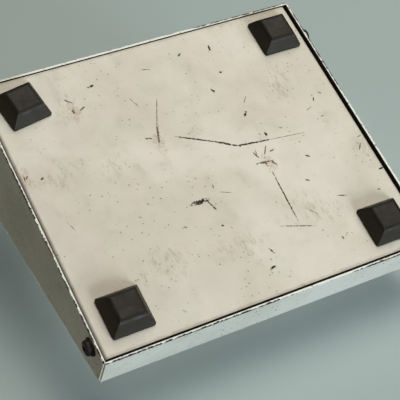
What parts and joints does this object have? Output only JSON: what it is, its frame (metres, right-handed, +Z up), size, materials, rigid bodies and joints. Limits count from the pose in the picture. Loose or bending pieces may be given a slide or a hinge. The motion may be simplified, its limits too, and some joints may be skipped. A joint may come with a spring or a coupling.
{
  "type": "pedalboard",
  "caption": "Compact wedge-shaped floor effects board of folded sheet steel on square rubber feet, with footswitches, knobs, status lights, rear jacks and a power switch.",
  "frame": {"origin": "on the floor, under the middle of the object's bounding box", "axes": "+Z up, -Y towards the player at the low front edge, +X to the player's right"},
  "size_m": [0.178, 0.1562, 0.08],
  "materials": {
    "shell_paint": "off-white enamel, worn and chipped",
    "plate_paint": "off-white enamel, scratched",
    "foot_rubber": "matte",
    "black_screw": "black oxide",
    "zinc_steel": "zinc plated",
    "bright_metal": "nickel plated",
    "phenolic": "matte",
    "knob_plastic": "satin",
    "led_resin": "clear red",
    "board_laminate": "solder mask",
    "cable_jacket": "matte",
    "black_plastic": "satin"
  },
  "bodies": {
    "chassis": {"base_plate": "plate_paint", "board_cable": "cable_jacket", "board_capacitors": "black_plastic", "board_chips": "black_plastic", "board_screws": "zinc_steel", "board_standoffs": "zinc_steel", "clinch_nuts": "zinc_steel", "control_board": "board_laminate", "dc_inlet": "black_plastic", "dc_inlet_nut": "black_plastic", "dc_inlet_pin": "bright_metal", "foot_front_left": "foot_rubber", "foot_front_right": "foot_rubber", "foot_rear_left": "foot_rubber", "foot_rear_right": "foot_rubber", "footswitch_base_1": "phenolic", "footswitch_base_2": "phenolic", "footswitch_base_3": "phenolic", "footswitch_can_1": "bright_metal", "footswitch_can_2": "bright_metal", "footswitch_can_3": "bright_metal", "footswitch_nuts": "bright_metal", "footswitch_washers": "bright_metal", "jack_1": "black_plastic", "jack_2": "black_plastic", "jack_3": "black_plastic", "jack_nuts": "bright_metal", "jack_washers": "bright_metal", "led_1": "led_resin", "led_2": "led_resin", "led_3": "led_resin", "led_bezels": "bright_metal", "main_board": "board_laminate", "pot_body_1": "zinc_steel", "pot_body_2": "zinc_steel", "pot_body_3": "zinc_steel", "pot_body_4": "zinc_steel", "pot_nuts": "bright_metal", "rear_cables": "cable_jacket", "rocker_housing": "black_plastic", "shell": "shell_paint", "side_screws": "black_screw", "side_washers": "black_screw", "switch_cables": "cable_jacket"},
    "footswitch_1": {"footswitch_plunger_1": "bright_metal"},
    "footswitch_2": {"footswitch_plunger_2": "bright_metal"},
    "footswitch_3": {"footswitch_plunger_3": "bright_metal"},
    "control_1": {"knob_1": "knob_plastic", "pot_shaft_1": "zinc_steel"},
    "control_2": {"knob_2": "knob_plastic", "pot_shaft_2": "zinc_steel"},
    "control_3": {"knob_3": "knob_plastic", "pot_shaft_3": "zinc_steel"},
    "control_4": {"knob_4": "knob_plastic", "pot_shaft_4": "zinc_steel"},
    "power_rocker": {"rocker": "black_plastic"}
  },
  "joints": [
    {"name": "footswitch_1_press", "type": "slide", "parent": "chassis", "child": "footswitch_1", "axis": [0, 0.32, -0.9474], "range_m": [0, 0.003], "stiffness_N_per_m": 3000, "springref_m": -0.002},
    {"name": "footswitch_2_press", "type": "slide", "parent": "chassis", "child": "footswitch_2", "axis": [0, 0.32, -0.9474], "range_m": [0, 0.003], "stiffness_N_per_m": 3000, "springref_m": -0.002},
    {"name": "footswitch_3_press", "type": "slide", "parent": "chassis", "child": "footswitch_3", "axis": [0, 0.32, -0.9474], "range_m": [0, 0.003], "stiffness_N_per_m": 3000, "springref_m": -0.002},
    {"name": "knob_1_turn", "type": "hinge", "parent": "chassis", "child": "control_1", "pos_m": [-0.057, 0.02991, 0.06308], "axis": [0, 0.32, -0.9474], "range_deg": [-115, 185]},
    {"name": "knob_2_turn", "type": "hinge", "parent": "chassis", "child": "control_2", "pos_m": [-0.019, 0.02991, 0.06308], "axis": [0, 0.32, -0.9474], "range_deg": [-170, 130]},
    {"name": "knob_3_turn", "type": "hinge", "parent": "chassis", "child": "control_3", "pos_m": [0.019, 0.02991, 0.06308], "axis": [0, 0.32, -0.9474], "range_deg": [-212, 88]},
    {"name": "knob_4_turn", "type": "hinge", "parent": "chassis", "child": "control_4", "pos_m": [0.057, 0.02991, 0.06308], "axis": [0, 0.32, -0.9474], "range_deg": [-70, 230]},
    {"name": "power_rocker_tip", "type": "hinge", "parent": "chassis", "child": "power_rocker", "pos_m": [-0.037, 0.0723, 0.04], "axis": [1, 0, 0], "range_deg": [0, 24]}
  ]
}
